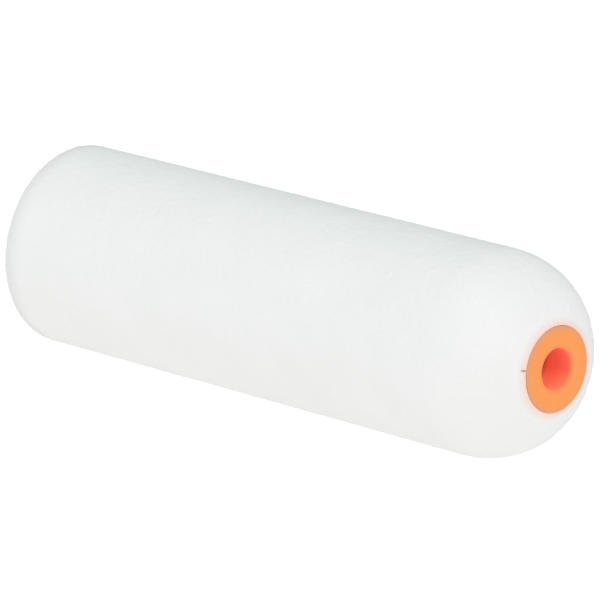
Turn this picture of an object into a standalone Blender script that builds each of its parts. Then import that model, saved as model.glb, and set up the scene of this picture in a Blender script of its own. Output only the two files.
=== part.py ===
"""A mini paint roller refill: a domed, flocked foam sleeve on a plastic core for a 6 mm frame wire.

The sleeve is drawn standing on the local Z axis, domed end up, and laid down at the end, so that
it lies along Y with the domed front end towards -Y and its middle at the origin.
All lengths are in metres.
"""

import math

import bmesh
import bpy
from mathutils import Matrix

MM = 0.001

# Driving sizes
LENGTH = 110 * MM  # front plug face to rear cut face
COVER_RADIUS = 17 * MM
WIRE_RADIUS = 3 * MM  # the frame wire that the plugs take
GAP = 0.3 * MM  # between pieces that touch on the real sleeve

# Domed front end: a quarter ellipse, with a cone from it up to the plug
DOME_RADIAL = 12.6 * MM
DOME_AXIAL = 14.6 * MM
CONE_RADIUS = 9.5 * MM  # where the ellipse turns into the cone
CONE_TILT = math.radians(28)  # from the plane of the plug's face
DOME_POINTS = 8

# Layers, from the outside in
NAP_THICKNESS = 0.8 * MM
TUBE_RADIUS = 7.0 * MM
TUBE_WALL = 1.0 * MM
ADHESIVE_THICKNESS = 0.4 * MM

# End plugs, two identical mouldings
FLANGE_RADIUS = 7.0 * MM
FLANGE_THICKNESS = 1.5 * MM
FLANGE_EDGE = 0.25 * MM
PLUG_LENGTH = 16 * MM
HUB_RADIUS = 4.7 * MM
BORE_RADIUS = WIRE_RADIUS + 0.35 * MM
LEAD_IN = 0.35 * MM
GRIP_RADIUS = WIRE_RADIUS - 0.05 * MM  # the bead that grips the wire
GRIP_RAMP = 0.8 * MM  # length of each of the bead's two slopes, and of its flat
RIB_COUNT = 8
RIB_WIDTH = 1.2 * MM
RIB_LENGTH = 11 * MM
RIB_TAPER = 0.6 * MM
RIB_OVERLAP = 0.5 * MM  # how deep a rib is rooted in the hub
SLOT_WIDTH = 1.0 * MM
SLOT_DEPTH = 5 * MM
SLOT_REACH = 2.5 * HUB_RADIUS  # a slot blade is longer than the hub is wide
REAR_RECESS = 1.0 * MM  # the rear plug sits this far inside the cut face
FOAM_LIP = 4 * MM  # the stretch at each end where the foam closes in on the core

SOFT_FACETS = 48
HARD_FACETS = 48

FRONT_Z = LENGTH / 2
REAR_Z = -LENGTH / 2
MOUTH_RADIUS = FLANGE_RADIUS + GAP
FOAM_RADIUS = COVER_RADIUS - NAP_THICKNESS - GAP
DOME_CENTRE_R = COVER_RADIUS - DOME_RADIAL
DOME_START = math.asin((CONE_RADIUS - DOME_CENTRE_R) / DOME_RADIAL)
CONE_DROP = (CONE_RADIUS - FLANGE_RADIUS) * math.tan(CONE_TILT)
DOME_CENTRE_Z = FRONT_Z - CONE_DROP - DOME_AXIAL * math.cos(DOME_START)
ADHESIVE_RADIUS = TUBE_RADIUS + GAP + ADHESIVE_THICKNESS
FOAM_BORE_RADIUS = ADHESIVE_RADIUS + GAP


def clear_scene():
    for obj in list(bpy.data.objects):
        bpy.data.objects.remove(obj)


def make_collection(name):
    collection = bpy.data.collections.new(name)
    bpy.context.scene.collection.children.link(collection)
    return collection


def make_material(name, colour, roughness):
    material = bpy.data.materials.new(name)
    material.use_nodes = True
    shader = material.node_tree.nodes["Principled BSDF"]
    shader.inputs["Base Color"].default_value = (*colour, 1.0)
    shader.inputs["Roughness"].default_value = roughness
    shader.inputs["Metallic"].default_value = 0.0
    return material


def make_object(name, mesh, collection):
    obj = bpy.data.objects.new(name, mesh)
    collection.objects.link(obj)
    return obj


def turned(name, profile, facets, collection):
    """A closed profile of (radius, z) points, turned about Z. It runs down the outer side."""
    mesh = bpy.data.meshes.new(name)
    corners = [(radius, 0, z) for radius, z in profile]
    edges = [(i, (i + 1) % len(corners)) for i in range(len(corners))]
    mesh.from_pydata(corners, edges, [])
    obj = make_object(name, mesh, collection)
    screw = obj.modifiers.new("turn", "SCREW")
    screw.axis = "Z"
    screw.angle = math.tau
    screw.steps = facets
    screw.render_steps = facets
    screw.use_merge_vertices = False
    screw.use_smooth_shade = True
    return obj


def dome_arc(inset):
    """Points of the cone and the dome, inset under their surface, from the mouth to the side."""
    mouth_drop = (MOUTH_RADIUS - FLANGE_RADIUS) * math.tan(CONE_TILT)
    points = [(MOUTH_RADIUS, FRONT_Z - mouth_drop - inset / math.cos(CONE_TILT))]
    step = (math.pi / 2 - DOME_START) / (DOME_POINTS - 1)
    for i in range(DOME_POINTS):
        angle = DOME_START + step * i
        radius = DOME_CENTRE_R + (DOME_RADIAL - inset) * math.sin(angle)
        points.append((radius, DOME_CENTRE_Z + (DOME_AXIAL - inset) * math.cos(angle)))
    return points


def build_nap(collection):
    """The flocked skin: round the side, over the dome and up to the plug."""
    outer = dome_arc(0)
    inner = dome_arc(NAP_THICKNESS)
    profile = [*outer, (COVER_RADIUS, REAR_Z), (COVER_RADIUS - NAP_THICKNESS, REAR_Z)]
    profile += reversed(inner)
    return turned("flock_cover", profile, SOFT_FACETS, collection)


def build_foam(collection):
    """The foam body, with a bore that is wider along the glued stretch than at its two lips."""
    lip_top = FRONT_Z - FOAM_LIP
    lip_bottom = REAR_Z + FOAM_LIP
    profile = dome_arc(NAP_THICKNESS + GAP)
    profile += [
        (FOAM_RADIUS, REAR_Z),
        (MOUTH_RADIUS, REAR_Z),
        (MOUTH_RADIUS, lip_bottom),
        (FOAM_BORE_RADIUS, lip_bottom),
        (FOAM_BORE_RADIUS, lip_top),
        (MOUTH_RADIUS, lip_top),
    ]
    return turned("foam_sleeve", profile, SOFT_FACETS, collection)


def build_pipe(name, outer_radius, wall, top, bottom, collection):
    inner_radius = outer_radius - wall
    profile = [
        (outer_radius, top),
        (outer_radius, bottom),
        (inner_radius, bottom),
        (inner_radius, top),
    ]
    return turned(name, profile, HARD_FACETS, collection)


def plug_profile():
    """Half section of a plug, its flange face at z = 0 and its hub hanging below."""
    return [
        (FLANGE_RADIUS - FLANGE_EDGE, 0),
        (FLANGE_RADIUS, -FLANGE_EDGE),
        (FLANGE_RADIUS, -FLANGE_THICKNESS),
        (HUB_RADIUS, -FLANGE_THICKNESS),
        (HUB_RADIUS, -PLUG_LENGTH + LEAD_IN),
        (HUB_RADIUS - LEAD_IN, -PLUG_LENGTH),
        (BORE_RADIUS, -PLUG_LENGTH),
        (GRIP_RADIUS, -PLUG_LENGTH + GRIP_RAMP),
        (GRIP_RADIUS, -PLUG_LENGTH + 2 * GRIP_RAMP),
        (BORE_RADIUS, -PLUG_LENGTH + 3 * GRIP_RAMP),
        (BORE_RADIUS, -LEAD_IN),
        (BORE_RADIUS + LEAD_IN, 0),
    ]


def make_tool(name, shape, collection):
    mesh = bpy.data.meshes.new(name)
    shape.to_mesh(mesh)
    shape.free()
    tool = make_object(name, mesh, collection)
    tool.hide_render = True
    tool.display_type = "WIRE"
    return tool


def make_rib_tool(collection):
    """Ribs round the hub, tapered at the far end. They reach the tube's bore, less the gap."""
    inner = HUB_RADIUS - RIB_OVERLAP
    outer = TUBE_RADIUS - TUBE_WALL - GAP
    top = -FLANGE_THICKNESS / 2
    bottom = -FLANGE_THICKNESS - RIB_LENGTH
    shape = bmesh.new()
    for i in range(RIB_COUNT):
        box = bmesh.ops.create_cube(shape, size=1)["verts"]
        bmesh.ops.scale(shape, vec=(outer - inner, RIB_WIDTH, top - bottom), verts=box)
        middle = ((outer + inner) / 2, 0, (top + bottom) / 2)
        bmesh.ops.translate(shape, vec=middle, verts=box)
        for vert in box:
            if vert.co.x > middle[0] and vert.co.z < middle[2]:
                vert.co.x -= RIB_TAPER
        turn = Matrix.Rotation(math.tau * i / RIB_COUNT, 3, "Z")
        bmesh.ops.rotate(shape, cent=(0, 0, 0), matrix=turn, verts=box)
    return make_tool("rib_tool", shape, collection)


def make_slot_tool(collection):
    """Two crossed blades that part the hub's free end into four grip fingers."""
    shape = bmesh.new()
    for i in range(2):
        box = bmesh.ops.create_cube(shape, size=1)["verts"]
        bmesh.ops.scale(shape, vec=(SLOT_REACH, SLOT_WIDTH, 2 * SLOT_DEPTH), verts=box)
        bmesh.ops.translate(shape, vec=(0, 0, -PLUG_LENGTH), verts=box)
        turn = Matrix.Rotation(math.pi / RIB_COUNT + math.pi / 2 * i, 3, "Z")
        bmesh.ops.rotate(shape, cent=(0, 0, 0), matrix=turn, verts=box)
    return make_tool("slot_tool", shape, collection)


def add_boolean(obj, operation, tool):
    boolean = obj.modifiers.new(tool.name, "BOOLEAN")
    boolean.operation = operation
    boolean.object = tool
    boolean.solver = "EXACT"
    boolean.use_self = True


def build_plug(name, collection, tool_collection):
    plug = turned(name, plug_profile(), HARD_FACETS, collection)
    tools = [
        ("UNION", make_rib_tool(tool_collection)),
        ("DIFFERENCE", make_slot_tool(tool_collection)),
    ]
    for operation, tool in tools:
        tool.parent = plug
        add_boolean(plug, operation, tool)
    return plug


def main():
    clear_scene()
    pieces = make_collection("paint_roller_refill")
    tools = make_collection("tools")

    flock_white = make_material("flock_white", (0.86, 0.88, 0.87), 0.95)
    foam_white = make_material("foam_white", (0.80, 0.79, 0.74), 0.9)
    orange_plastic = make_material("orange_plastic", (0.95, 0.33, 0.09), 0.4)
    natural_plastic = make_material("natural_plastic", (0.62, 0.62, 0.60), 0.45)
    clear_adhesive = make_material("clear_adhesive", (0.75, 0.66, 0.42), 0.3)

    axis = bpy.data.objects.new("roller_axis", None)
    pieces.objects.link(axis)
    axis.rotation_euler = (math.pi / 2, 0, 0)

    front_plug = build_plug("front_plug", pieces, tools)
    front_plug.location.z = FRONT_Z
    rear_plug = build_plug("rear_plug", pieces, tools)
    rear_plug.location.z = REAR_Z + REAR_RECESS
    rear_plug.rotation_euler.x = math.pi

    inner_face = FLANGE_THICKNESS + GAP
    tube_top = FRONT_Z - inner_face
    tube_bottom = REAR_Z + REAR_RECESS + inner_face
    glue_end = LENGTH / 2 - FOAM_LIP - GAP
    core_tube = build_pipe("core_tube", TUBE_RADIUS, TUBE_WALL, tube_top, tube_bottom, pieces)
    adhesive = build_pipe(
        "adhesive_layer", ADHESIVE_RADIUS, ADHESIVE_THICKNESS, glue_end, -glue_end, pieces
    )
    foam_sleeve = build_foam(pieces)
    flock_cover = build_nap(pieces)

    # Half a facet of turn puts a flat of the cover underneath, for it to lie on.
    half_facet = math.pi / SOFT_FACETS
    looks = {
        flock_cover: flock_white,
        foam_sleeve: foam_white,
        adhesive: clear_adhesive,
        core_tube: natural_plastic,
        front_plug: orange_plastic,
        rear_plug: orange_plastic,
    }
    for piece, material in looks.items():
        piece.data.materials.append(material)
        piece.parent = axis
        piece.rotation_euler.z = half_facet


main()
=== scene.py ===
"""Looks of the mini paint roller refill: a flocked foam sleeve with orange end plugs.

The axis is Y and the domed front end is at -Y. The planes of both ends come from the CAD frame.
"""

import math

import bmesh
import bpy
from mathutils import Matrix, Vector, noise


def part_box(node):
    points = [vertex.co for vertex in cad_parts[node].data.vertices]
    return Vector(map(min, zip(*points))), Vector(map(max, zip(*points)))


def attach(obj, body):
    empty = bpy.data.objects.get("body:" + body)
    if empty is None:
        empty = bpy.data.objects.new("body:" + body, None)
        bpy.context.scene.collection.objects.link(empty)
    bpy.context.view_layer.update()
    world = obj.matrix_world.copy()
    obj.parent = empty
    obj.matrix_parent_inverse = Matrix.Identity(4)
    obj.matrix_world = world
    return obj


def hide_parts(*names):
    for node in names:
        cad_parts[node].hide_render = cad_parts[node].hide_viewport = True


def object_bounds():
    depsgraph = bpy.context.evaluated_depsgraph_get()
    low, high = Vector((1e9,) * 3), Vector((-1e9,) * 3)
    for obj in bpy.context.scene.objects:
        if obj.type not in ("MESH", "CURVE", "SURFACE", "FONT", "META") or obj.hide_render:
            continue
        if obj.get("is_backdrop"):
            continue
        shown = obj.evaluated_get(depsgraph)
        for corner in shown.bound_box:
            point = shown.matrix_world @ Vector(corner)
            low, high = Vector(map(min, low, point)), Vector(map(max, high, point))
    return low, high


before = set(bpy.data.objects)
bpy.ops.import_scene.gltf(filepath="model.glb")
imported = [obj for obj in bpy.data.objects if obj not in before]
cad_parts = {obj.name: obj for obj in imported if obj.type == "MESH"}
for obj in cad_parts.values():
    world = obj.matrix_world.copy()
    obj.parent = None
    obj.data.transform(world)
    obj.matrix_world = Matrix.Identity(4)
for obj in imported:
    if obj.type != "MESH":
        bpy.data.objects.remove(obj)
cad_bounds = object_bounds()

MM = 0.001

# Read from the frame
FRONT_LOW, FRONT_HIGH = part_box("front_plug")
FRONT_Y = FRONT_LOW.y  # plane of the front plug's face
REAR_FACE_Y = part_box("rear_plug")[1].y  # plane of the rear plug's face
REAR_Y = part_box("flock_cover")[1].y  # plane of the cut rear end
PLUG_LENGTH = FRONT_HIGH.y - FRONT_LOW.y

# Radii a little under the CAD's, which on the cover leaves room for the grain
COVER_RADIUS = 16.92 * MM
FLANGE_RADIUS = 6.97 * MM

# Flocked skin: a quarter ellipse, with a cone from it up to the plug
DOME_RADIAL = 12.56 * MM
DOME_AXIAL = 14.55 * MM
DOME_DROP = 0.05 * MM  # from the plug's face back to where the ellipse would end
DOME_CENTRE_R = COVER_RADIUS - DOME_RADIAL
DOME_CENTRE_Y = FRONT_Y + DOME_DROP + DOME_AXIAL
CONE_RADIUS = 9.5 * MM
NAP_THICKNESS = 0.8 * MM
NAP_STEP = 0.37 * MM
NAP_SEGMENTS = 280
MOUTH_GAP = 0.02 * MM
MOUTH_ROUND = 0.15 * MM
MOUTH_DROP = 0.06 * MM  # from the plug's face back to the nap round it
MOUTH_FADE = 0.9 * MM  # the grain grows from nothing over this distance from the plug
CUT_ROUND = 0.45 * MM
CUT_RING = 1 * MM  # the skin's inner side starts this far inside the cut end
GRAIN = ((1.2 * MM, 0.065 * MM), (0.7 * MM, 0.065 * MM))  # (size, height) of each layer
SWELL_SIZE, SWELL_HEIGHT = 14 * MM, 0.05 * MM

# Foam body, with a lip at each end that closes in on the plug's flange
FOAM_RADIUS = COVER_RADIUS - NAP_THICKNESS - 0.03 * MM
FOAM_DOME_INSET = NAP_THICKNESS + 0.1 * MM
FOAM_BORE = 7.9 * MM
FOAM_SIDE_RING = 2 * MM  # the side's last ring is this far inside the cut end
FOAM_STEP = 0.14 * MM
FOAM_SEGMENTS = 540
LIP_RADIUS = FLANGE_RADIUS + 0.15 * MM
LIP_LENGTH = 4 * MM
LIP_OPEN = 1.2 * MM  # length of the rear lip's wall that shows cut cells
LIP_SINK = 0.6  # depth of the cells there, as a share of that in the cut face
CELL_SIZE = 0.8 * MM
CELL_DEPTH = 0.3 * MM
CELL_WALL = 0.55  # width of the slope from a wall to the flat middle, in cells

# Plugs
PLUG_SEGMENTS = 180
FLANGE_THICKNESS = 1.5 * MM
HUB_RADIUS = 4.7 * MM
BORE_RADIUS = 3.32 * MM
GRIP_RADIUS = 2.95 * MM
GRIP_RAMP = 0.8 * MM
TUBE_BORE = 6.0 * MM
EDGE_ROUND = 0.14 * MM
LEAD_ROUND = 0.45 * MM
FACE_STEP = 0.8 * MM
BORE_STEP = 1.5 * MM
SHARP_ANGLE = math.radians(35)
RIB_COUNT = 8
RIB_WIDTH = 1.2 * MM
RIB_LENGTH = 11 * MM
RIB_TAPER = 0.6 * MM
RIB_ROOT = 0.5 * MM  # how deep a rib starts inside the hub
RIB_CLEARANCE = 0.1 * MM  # between a rib and the tube
SLOT_WIDTH = 1.0 * MM
SLOT_DEPTH = 5 * MM
GATE_ANGLE = math.radians(171)
GATE_LENGTH = 1.0 * MM
GATE_ROOT = 0.15 * MM  # how deep the spike starts inside the flange
GATE_THICKNESS = 0.7 * MM
GATE_DEPTH = 0.4 * MM  # of its middle, behind the plug's face
GATE_LEAN = math.radians(3)

# Reach of the changes of colour
CUT_FADE = 4 * MM  # the nap is darkened with painted shade this far from the cut end
HALO = 2.3 * MM  # painted orange light tints the nap this far from the plug
RED_START = 0.8 * MM  # the bore's red, painted light of reflections inside the plastic, starts this far out on the plug's face
RED_LENGTH = 9 * MM  # and has given way to painted shade this far along, down the bore
RIM_START = 0.9 * MM  # painted shade on the plug's rim starts this far inside the flange's edge
RIM_LENGTH = 1.5 * MM  # and has turned into the darker painted shade of the gate's stub within this length

# Camera, aimed from the left of the domed end, a little above
CAMERA_PLACE = Vector((-0.69253, -0.68702, 0.26816))
CAMERA_AIM = Vector((0.00002, 0.00205, 0.00028))
CAMERA_LENS = 372
CAMERA_CLIP = 20

FLOOR_HALF_WIDTH = 6.0


# ---------------------------------------------------------------- meshes


def arc(centre, radius, start, end, count):
    """Points (radius, y) of an arc, its angles in degrees from the +radius direction to +y."""
    points = []
    for i in range(count + 1):
        a = math.radians(start + (end - start) * i / count)
        points.append((centre[0] + radius * math.cos(a), centre[1] + radius * math.sin(a)))
    return points


def resample(points, step):
    """The polyline with its points spread evenly, about one step apart."""
    lengths = [0.0]
    for a, b in zip(points, points[1:]):
        lengths.append(lengths[-1] + math.dist(a, b))
    count = max(1, round(lengths[-1] / step))
    result = []
    k = 0
    for i in range(count + 1):
        s = lengths[-1] * i / count
        while k < len(points) - 2 and lengths[k + 1] < s:
            k += 1
        span = lengths[k + 1] - lengths[k]
        t = (s - lengths[k]) / span if span else 0.0
        a, b = points[k], points[k + 1]
        result.append((a[0] + (b[0] - a[0]) * t, a[1] + (b[1] - a[1]) * t))
    return result


def add_object(name, mesh):
    obj = bpy.data.objects.new(name, mesh)
    bpy.context.scene.collection.objects.link(obj)
    return obj


def add_shape(name, shape):
    """An object made from a bmesh, which is freed."""
    mesh = bpy.data.meshes.new(name)
    shape.to_mesh(mesh)
    shape.free()
    return add_object(name, mesh)


def turned(name, profile, segments, shift=None):
    """A closed profile of (radius, y) turned about Y, its outer side running towards +y.

    shift moves a point and gets its ring number.
    """
    verts = []
    for ring, (radius, y) in enumerate(profile):
        for i in range(segments):
            a = math.tau * i / segments
            point = Vector((radius * math.cos(a), y, radius * math.sin(a)))
            verts.append(shift(point, ring) if shift else point)
    faces = []
    rings = len(profile)
    for ring in range(rings):
        here, there = ring * segments, (ring + 1) % rings * segments
        for i in range(segments):
            j = (i + 1) % segments
            faces.append((here + i, there + i, there + j, here + j))
    mesh = bpy.data.meshes.new(name)
    mesh.from_pydata(verts, [], faces)
    mesh.shade_smooth()
    return add_object(name, mesh)


def dome_points(inset, count=48):
    """The dome's part of the ellipse, inset under its surface, from the cone to the side."""
    start = math.asin((CONE_RADIUS - DOME_CENTRE_R) / DOME_RADIAL)
    radial, axial = DOME_RADIAL - inset, DOME_AXIAL - inset
    points = []
    for i in range(count + 1):
        a = start + (math.pi / 2 - start) * i / count
        points.append((DOME_CENTRE_R + radial * math.sin(a), DOME_CENTRE_Y - axial * math.cos(a)))
    return points


# ---------------------------------------------------------------- flocked skin


def nap_profile():
    """Outer points, which carry the grain, and the plain inner points that close the skin."""
    mouth = FLANGE_RADIUS + MOUTH_GAP
    dome = dome_points(0)
    cone_top = FRONT_Y + MOUTH_DROP
    tilt = math.atan2(dome[0][1] - cone_top, dome[0][0] - FLANGE_RADIUS)
    lip_r = mouth + MOUTH_ROUND
    lip_y = cone_top + (lip_r - FLANGE_RADIUS) * math.tan(tilt) + MOUTH_ROUND / math.cos(tilt)
    lip = arc((lip_r, lip_y), MOUTH_ROUND, 180, 270 + math.degrees(tilt), 7)
    cut = arc((COVER_RADIUS - CUT_ROUND, REAR_Y - CUT_ROUND), CUT_ROUND, 0, 90, 6)
    outer = [(mouth, lip_y + NAP_THICKNESS), *lip[:-1]]
    outer += resample([lip[-1], *dome, cut[0]], NAP_STEP)
    inner_radius = COVER_RADIUS - NAP_THICKNESS
    outer += [*cut[1:], (inner_radius, REAR_Y)]
    inner = [(inner_radius, REAR_Y - CUT_RING), *reversed(dome_points(NAP_THICKNESS, 16))]
    return outer, inner


def grain_height(point):
    """How far the nap stands out there: a slow swell and the layers of its grain."""
    height = SWELL_HEIGHT * noise.noise(point / SWELL_SIZE)
    for size, tall in GRAIN:
        height += tall * noise.noise(point / size)
    return height


def build_nap():
    outer, inner = nap_profile()
    last = len(outer) - 1
    mouth = outer[1]

    def shift(point, ring):
        if ring > last:
            return point
        fade = min(1.0, math.dist(outer[ring], mouth) / MOUTH_FADE)
        axis_point = Vector((0, max(point.y, DOME_CENTRE_Y), 0))
        outward = (point - axis_point).normalized()
        return point + outward * grain_height(point) * fade

    nap = turned("flock_nap", [*outer, *inner], NAP_SEGMENTS, shift)
    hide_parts("flock_cover")
    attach(nap, "root")
    nap.data.materials.append(flock_material())


# ---------------------------------------------------------------- foam body


def foam_profile():
    """Cut face points, which carry the cells, and the plain points of the rest of the body."""
    cut = [(FOAM_RADIUS, REAR_Y), (LIP_RADIUS, REAR_Y), (LIP_RADIUS, REAR_Y - LIP_OPEN)]
    rest = [
        (LIP_RADIUS, REAR_Y - LIP_LENGTH),
        (FOAM_BORE, REAR_Y - LIP_LENGTH),
        (FOAM_BORE, FRONT_Y + LIP_LENGTH),
        (LIP_RADIUS, FRONT_Y + LIP_LENGTH),
        *dome_points(FOAM_DOME_INSET, 12),
        (FOAM_RADIUS, REAR_Y - FOAM_SIDE_RING),
    ]
    return resample(cut, FOAM_STEP), rest


def cell_depth(point):
    """How deep the cut cells lie under the face: shallow at their walls, deep in the middle."""
    distances, _ = noise.voronoi(point / CELL_SIZE)
    wall = min(1.0, (distances[1] - distances[0]) / CELL_WALL)
    return CELL_DEPTH * wall * wall * (3 - 2 * wall)


def build_foam():
    face, rest = foam_profile()
    last = len(face) - 1

    def shift(point, ring):
        if ring > last or ring == 0:
            return point
        sink = cell_depth(point)
        radius = math.hypot(point.x, point.z)
        if math.isclose(radius, LIP_RADIUS, rel_tol=0.001):
            outward = Vector((point.x, 0, point.z)) / radius
            return point + outward * sink * LIP_SINK
        return point - Vector((0, sink, 0))

    foam = turned("foam_body", [*face, *rest], FOAM_SEGMENTS, shift)
    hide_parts("foam_sleeve")
    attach(foam, "root")
    foam.data.materials.append(foam_material())


# ---------------------------------------------------------------- plugs


def plug_profile():
    """Half section of a plug with its face at y = 0 and its hub towards +y."""
    edge_centre = (FLANGE_RADIUS - EDGE_ROUND, EDGE_ROUND)
    lead_centre = (BORE_RADIUS + LEAD_ROUND, LEAD_ROUND)
    end = PLUG_LENGTH
    profile = arc(lead_centre, LEAD_ROUND, 180, 270, 8)
    profile += resample([profile[-1], (FLANGE_RADIUS - EDGE_ROUND, 0)], FACE_STEP)[1:-1]
    profile += arc(edge_centre, EDGE_ROUND, -90, 0, 5)
    profile += [
        (FLANGE_RADIUS, FLANGE_THICKNESS),
        (HUB_RADIUS, FLANGE_THICKNESS),
        (HUB_RADIUS, end - LEAD_ROUND),
        (HUB_RADIUS - LEAD_ROUND, end),
        (BORE_RADIUS, end),
        (GRIP_RADIUS, end - GRIP_RAMP),
        (GRIP_RADIUS, end - 2 * GRIP_RAMP),
        (BORE_RADIUS, end - 3 * GRIP_RAMP),
    ]
    profile += resample([profile[-1], (BORE_RADIUS, LEAD_ROUND)], BORE_STEP)[1:-1]
    return profile


def box_tool(name, boxes):
    """One mesh object of boxes, each given by its size, middle, taper and turn about Y."""
    shape = bmesh.new()
    for size, middle, taper, turn in boxes:
        verts = bmesh.ops.create_cube(shape, size=1)["verts"]
        bmesh.ops.scale(shape, vec=size, verts=verts)
        bmesh.ops.translate(shape, vec=middle, verts=verts)
        for vert in verts:
            if vert.co.x > middle[0] and vert.co.y > middle[1]:
                vert.co.x -= taper
        matrix = Matrix.Rotation(turn, 3, "Y")
        bmesh.ops.rotate(shape, cent=(0, 0, 0), matrix=matrix, verts=verts)
    return add_shape(name, shape)


def rib_boxes():
    inner, outer = HUB_RADIUS - RIB_ROOT, TUBE_BORE - RIB_CLEARANCE
    near, far = FLANGE_THICKNESS / 2, FLANGE_THICKNESS + RIB_LENGTH
    size = (outer - inner, far - near, RIB_WIDTH)
    middle = ((outer + inner) / 2, (near + far) / 2, 0)
    return [(size, middle, RIB_TAPER, math.tau * i / RIB_COUNT) for i in range(RIB_COUNT)]


def slot_boxes():
    """Two crossed boxes, wider than the hub and with half of their length past its end."""
    size = (2.5 * HUB_RADIUS, 2 * SLOT_DEPTH, SLOT_WIDTH)
    middle = (0, PLUG_LENGTH, 0)
    return [(size, middle, 0, math.pi / RIB_COUNT + math.pi / 2 * i) for i in range(2)]


def gate_tool():
    """The torn stub where the moulding was broken off its runner: a thin spike on the rim."""
    shape = bmesh.new()
    radius = GATE_THICKNESS / 2
    length = GATE_LENGTH + GATE_ROOT
    spike = bmesh.ops.create_cone(
        shape, cap_ends=True, segments=8, radius1=radius, radius2=radius / 6, depth=length
    )["verts"]
    lean = Matrix.Rotation(GATE_LEAN, 3, "Z") @ Matrix.Rotation(math.pi / 2, 3, "Y")
    bmesh.ops.rotate(shape, cent=(0, 0, 0), matrix=lean, verts=spike)
    middle = (FLANGE_RADIUS + (GATE_LENGTH - GATE_ROOT) / 2, GATE_DEPTH, 0)
    bmesh.ops.translate(shape, vec=middle, verts=spike)
    turn = Matrix.Rotation(-GATE_ANGLE, 3, "Y")
    bmesh.ops.rotate(shape, cent=(0, 0, 0), matrix=turn, verts=spike)
    return add_shape("gate", shape)


def carve(obj, steps):
    """Runs the boolean steps on the object and drops their tools."""
    for operation, tool in steps:
        boolean = obj.modifiers.new(tool.name, "BOOLEAN")
        boolean.operation = operation
        boolean.object = tool
        boolean.solver = "EXACT"
        boolean.use_self = True
    graph = bpy.context.evaluated_depsgraph_get()
    mesh = bpy.data.meshes.new_from_object(obj.evaluated_get(graph))
    obj.modifiers.clear()
    obj.data = mesh
    for _, tool in steps:
        bpy.data.objects.remove(tool)


def build_plug(name, node, face_y, facing):
    """facing is -1 for the plug whose face looks to -Y and +1 for the other."""
    plug = turned(name, plug_profile(), PLUG_SEGMENTS)
    steps = [
        ("UNION", box_tool("ribs", rib_boxes())),
        ("DIFFERENCE", box_tool("slots", slot_boxes())),
        ("UNION", gate_tool()),
    ]
    carve(plug, steps)
    turn = Matrix.Identity(4) if facing < 0 else Matrix.Rotation(math.pi, 4, "X")
    plug.data.transform(Matrix.Translation((0, face_y, 0)) @ turn)
    plug.data.shade_smooth()
    plug.data.set_sharp_from_angle(angle=SHARP_ANGLE)
    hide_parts(node)
    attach(plug, "root")
    plug.data.materials.clear()
    plug.data.materials.append(plug_material(face_y))


# ---------------------------------------------------------------- materials


class Tree:
    """A node tree, with short calls to add nodes and link them."""

    def __init__(self, tree):
        self.tree = tree

    def add(self, kind, settings=None, **inputs):
        node = self.tree.nodes.new(kind)
        for key, value in (settings or {}).items():
            setattr(node, key, value)
        for key, value in inputs.items():
            self.put(node, key.replace("_", " "), value)
        return node

    def put(self, node, socket, value):
        if isinstance(value, bpy.types.NodeSocket):
            self.tree.links.new(value, node.inputs[socket])
        else:
            node.inputs[socket].default_value = value

    def math(self, operation, *values):
        node = self.add("ShaderNodeMath", {"operation": operation})
        for i, value in enumerate(values):
            self.put(node, i, value)
        return node.outputs[0]


class Nodes(Tree):
    """A new material's node tree, round its Principled shader."""

    def __init__(self, name):
        self.material = bpy.data.materials.new(name)
        self.material.use_nodes = True
        super().__init__(self.material.node_tree)
        self.shader = self.tree.nodes["Principled BSDF"]

    def set(self, **inputs):
        for key, value in inputs.items():
            self.put(self.shader, key.replace("_", " "), value)

    def place(self):
        return self.add("ShaderNodeTexCoord").outputs["Object"]

    def turned_place(self):
        """Where the point lies along Y and Z, and how far it is from the roller's axis."""
        split = self.add("ShaderNodeSeparateXYZ", Vector=self.place())
        x, y, z = split.outputs
        across = self.add("ShaderNodeCombineXYZ", X=x, Z=z)
        radius = self.add("ShaderNodeVectorMath", {"operation": "LENGTH"}, Vector=across.outputs[0])
        return y, z, radius.outputs["Value"]

    def fraction(self, value, start, length):
        """How far the value is on its way from start to start + length."""
        return self.math("DIVIDE", self.math("SUBTRACT", value, start), length)

    def noise(self, size, detail=2.0, roughness=0.5):
        inputs = {"Scale": 1 / size, "Detail": detail, "Roughness": roughness}
        return self.add("ShaderNodeTexNoise", Vector=self.place(), **inputs).outputs["Fac"]

    def ramp(self, factor, stops):
        """A colour ramp with (position, colour) stops."""
        node = self.add("ShaderNodeValToRGB", Fac=factor)
        elements = node.color_ramp.elements
        for i, (position, colour) in enumerate(stops):
            element = elements[i] if i < 2 else elements.new(position)
            element.position = position
            element.color = (*colour, 1.0)
        return node.outputs["Color"]

    def bump(self, height, strength, distance):
        node = self.add("ShaderNodeBump", Height=height, Strength=strength, Distance=distance)
        self.set(Normal=node.outputs["Normal"])

    def mix(self, factor, first, second, blend="MIX"):
        node = self.add("ShaderNodeMix", {"data_type": "RGBA", "blend_type": blend})
        # Inputs 6 and 7 are the node's colours
        for socket, value in zip((0, 6, 7), (factor, first, second)):
            self.put(node, socket, (*value, 1.0) if isinstance(value, tuple) else value)
        return node.outputs[2]

    def tinted(self, colour, tint):
        return self.mix(1.0, colour, tint, "MULTIPLY")


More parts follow.
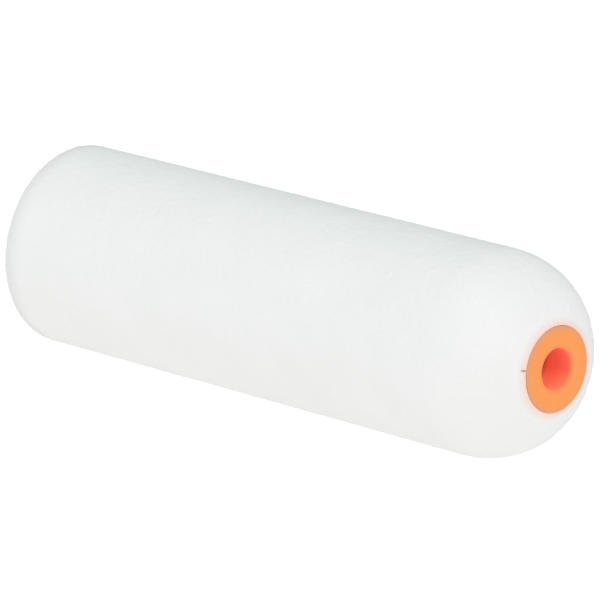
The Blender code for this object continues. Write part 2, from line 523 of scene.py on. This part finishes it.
def flock_material():
    """White nylon flock: matte, with a faint grain of lit tips and shaded roots."""
    nodes = Nodes("flock_white")
    fine = nodes.noise(0.4 * MM, detail=4.0, roughness=0.65)
    shade = nodes.ramp(fine, [(0.3, (0.85, 0.869, 0.86)), (0.7, (0.87, 0.887, 0.881))])
    patches = nodes.ramp(nodes.noise(9 * MM), [(0.3, (0.975, 0.98, 0.975)), (0.7, (1, 1, 1))])
    colour = nodes.tinted(shade, patches)
    y, _, radius = nodes.turned_place()
    # Painted shade: darker near the cut end, for the darker rim along that edge
    cut_edge_shade = [(0.0, 0.97), (0.08, 0.89), (0.25, 0.895), (0.45, 0.945), (0.7, 0.98), (1.0, 1.0)]
    from_cut = nodes.fraction(y, REAR_Y, -CUT_FADE)
    colour = nodes.tinted(colour, nodes.ramp(from_cut, [(at, (v, v, v)) for at, v in cut_edge_shade]))
    # Painted light: a warm orange tint next to the plug, for light bounced off the orange plastic
    # onto the nap
    bounce_light_tint = [
        (0.0, (1.13, 0.71, 0.51)),
        (0.25, (1.13, 0.81, 0.68)),
        (0.45, (1.06, 0.87, 0.81)),
        (0.7, (1.0, 0.94, 0.93)),
        (1.0, (1, 1, 1)),
    ]
    behind = nodes.math("MAXIMUM", nodes.math("SUBTRACT", y, FRONT_Y), 0.0)
    from_plug = nodes.fraction(nodes.math("ADD", radius, behind), FLANGE_RADIUS, HALO)
    colour = nodes.tinted(colour, nodes.ramp(from_plug, bounce_light_tint))
    nodes.set(Base_Color=colour, Roughness=0.72, Specular_IOR_Level=0.65)
    nodes.bump(nodes.noise(0.5 * MM, roughness=0.6), 0.6, 0.15 * MM)
    return nodes.material


def foam_material():
    """Cream polyurethane foam, matte."""
    nodes = Nodes("foam_white")
    cream = [(0.3, (0.86, 0.855, 0.825)), (0.7, (0.92, 0.915, 0.89))]
    tint = nodes.ramp(nodes.noise(0.8 * MM, detail=3.0), cream)
    nodes.set(Base_Color=tint, Roughness=0.9, Specular_IOR_Level=0.2)
    nodes.bump(nodes.noise(0.12 * MM), 0.4, 0.04 * MM)
    return nodes.material


def plug_material(face_y):
    """Orange polyethylene, satin. Down the bore its colour turns red, painted light of the
    reflections inside the orange plastic, and deep in the bore it turns to painted shade.
    """
    nodes = Nodes("orange_plastic")
    y, z, radius = nodes.turned_place()
    # From the face round the lead-in and down the bore: the red is painted light reflected round
    # inside the orange plastic, and the end of the ramp is painted shade deep in the bore
    depth = nodes.math("ABSOLUTE", nodes.math("SUBTRACT", y, face_y))
    along = nodes.math("SUBTRACT", depth, nodes.math("SUBTRACT", radius, BORE_RADIUS))
    inward = nodes.fraction(along, -RED_START, RED_LENGTH)
    orange, coral = (0.96, 0.34, 0.08), (0.96, 0.255, 0.09)
    red, deep_bore_shade = (0.95, 0.165, 0.1), (0.5, 0.06, 0.03)
    wall = nodes.ramp(inward, [(0.0, orange), (0.08, coral), (0.2, red), (0.66, red), (0.95, deep_bore_shade)])
    # From the face over the rim to the gate's stub, browner and darker: painted shade of the gap
    # round the plug and on the stub
    outward = nodes.fraction(radius, FLANGE_RADIUS - RIM_START, RIM_LENGTH)
    edge_shade, rim = (0.88, 0.34, 0.115), (0.79, 0.35, 0.165)
    lip, stub = (0.81, 0.38, 0.195), (0.6, 0.3, 0.175)
    face = nodes.ramp(outward, [(0.02, orange), (0.3, edge_shade), (0.48, rim), (0.6, lip), (0.68, stub)])
    in_bore = nodes.math("LESS_THAN", radius, BORE_RADIUS + 2 * LEAD_ROUND)
    colour = nodes.mix(in_bore, face, wall)
    cloud = nodes.ramp(nodes.noise(2.5 * MM), [(0.3, (0.975, 0.965, 0.955)), (0.7, (1, 1, 1))])
    nodes.set(Base_Color=nodes.tinted(colour, cloud))
    # Painted light: the bore glows red, for the light that comes through the wall, most of all low
    # down where light from above falls
    glow = [
        (0.04, (0, 0, 0)),
        (0.17, (0.52, 0.17, 0.1)),
        (0.42, (0.57, 0.12, 0.095)),
        (0.6, (0.75, 0.13, 0.11)),
        (0.7, (0.42, 0.08, 0.05)),
        (0.8, (0.22, 0.03, 0.01)),
        (1.0, (0.1, 0.01, 0)),
    ]
    low = nodes.fraction(z, 0.0, -BORE_RADIUS)
    lit = nodes.ramp(low, [(0.3, (1, 1, 1)), (1.0, (1.5, 2.6, 1.6))])
    light = nodes.tinted(nodes.ramp(inward, glow), lit)
    nodes.set(Emission_Color=nodes.mix(in_bore, (0, 0, 0), light), Emission_Strength=0.3)
    nodes.set(Roughness=0.42, Specular_IOR_Level=0.35)
    nodes.bump(nodes.noise(0.25 * MM, detail=3.0), 0.15, 0.02 * MM)
    return nodes.material


def tube_material():
    """Natural polypropylene, satin."""
    nodes = Nodes("natural_plastic")
    tint = nodes.ramp(nodes.noise(3 * MM), [(0.3, (0.58, 0.58, 0.56)), (0.7, (0.66, 0.66, 0.64))])
    nodes.set(Base_Color=tint, Roughness=0.45)
    nodes.bump(nodes.noise(0.6 * MM), 0.1, 0.02 * MM)
    return nodes.material


def glue_material():
    """Amber hot-melt glue, glossy."""
    nodes = Nodes("clear_adhesive")
    tint = nodes.ramp(nodes.noise(2 * MM), [(0.3, (0.68, 0.58, 0.36)), (0.7, (0.80, 0.72, 0.48))])
    nodes.set(Base_Color=tint, Roughness=0.25)
    nodes.bump(nodes.noise(1.2 * MM), 0.3, 0.08 * MM)
    return nodes.material


def finish_cad_node(name, material):
    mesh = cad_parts[name].data
    mesh.materials.clear()
    mesh.materials.append(material)


# ---------------------------------------------------------------- stage


def build_floor(height):
    shape = bmesh.new()
    bmesh.ops.create_grid(shape, x_segments=1, y_segments=1, size=FLOOR_HALF_WIDTH)
    floor = add_shape("floor", shape)
    floor.location.z = height
    nodes = Nodes("floor_white")
    nodes.set(Base_Color=(0.55, 0.55, 0.55, 1.0), Roughness=1.0, Specular_IOR_Level=0.0)
    nodes.set(Emission_Color=(1.0, 1.0, 1.0, 1.0), Emission_Strength=0.62)
    floor.data.materials.append(nodes.material)
    # The studio light also comes from under the object, as on a light table.
    floor.visible_diffuse = False
    floor.visible_glossy = False
    floor.visible_shadow = False
    floor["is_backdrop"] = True


def build_world():
    """Soft light all round, dimmer from +X and from the cut end. The camera itself sees white."""
    world = bpy.data.worlds.new("studio")
    world.use_nodes = True
    world.node_tree.nodes.clear()
    nodes = Tree(world.node_tree)
    place = nodes.add("ShaderNodeTexCoord").outputs["Generated"]
    x, y, z = nodes.add("ShaderNodeSeparateXYZ", Vector=place).outputs
    # Each term adds a colour times one direction, or times the product of two
    terms = (
        (x, None, (-0.255, -0.24, -0.247)),
        (y, None, (-0.289, -0.256, -0.26)),
        (z, None, (-0.052, -0.022, -0.014)),
        (x, y, (-0.372, -0.35, -0.355)),
        (y, z, (-0.182, -0.151, -0.181)),
        (x, z, (-0.192, -0.176, -0.188)),
        (x, x, (0.065, 0.072, 0.062)),
        (z, z, (0.358, 0.35, 0.334)),
    )
    total = (0.7228, 0.7222, 0.7262)
    for first, second, colour in terms:
        factor = nodes.math("MULTIPLY", first, second) if second else first
        step = nodes.add("ShaderNodeVectorMath", {"operation": "MULTIPLY_ADD"})
        for i, value in enumerate((factor, colour, total)):
            nodes.put(step, i, value)
        total = step.outputs[0]
    studio = nodes.add("ShaderNodeBackground", Color=total)
    white = nodes.add("ShaderNodeBackground", Color=(1.0, 1.0, 1.0, 1.0))
    camera_ray = nodes.add("ShaderNodeLightPath").outputs["Is Camera Ray"]
    mix = nodes.add("ShaderNodeMixShader")
    for i, value in enumerate((camera_ray, studio.outputs[0], white.outputs[0])):
        nodes.put(mix, i, value)
    nodes.add("ShaderNodeOutputWorld", Surface=mix.outputs[0])
    bpy.context.scene.world = world


def build_camera():
    camera = add_object("camera", bpy.data.cameras.new("camera"))
    camera.data.lens = CAMERA_LENS
    camera.data.clip_end = CAMERA_CLIP
    camera.location = CAMERA_PLACE
    camera.rotation_euler = (CAMERA_AIM - CAMERA_PLACE).to_track_quat("-Z", "Y").to_euler()
    bpy.context.scene.camera = camera


def main():
    bpy.context.scene.view_settings.view_transform = "Standard"
    build_camera()
    build_nap()
    build_foam()
    build_plug("front_plug_moulding", "front_plug", FRONT_Y, -1)
    build_plug("rear_plug_moulding", "rear_plug", REAR_FACE_Y, 1)
    finish_cad_node("core_tube", tube_material())
    finish_cad_node("adhesive_layer", glue_material())
    build_floor(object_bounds()[0][2])
    build_world()
    sizes = {"cad": cad_bounds, "visual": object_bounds()}
    {name: [list(corner) for corner in box] for name, box in sizes.items()}


main()
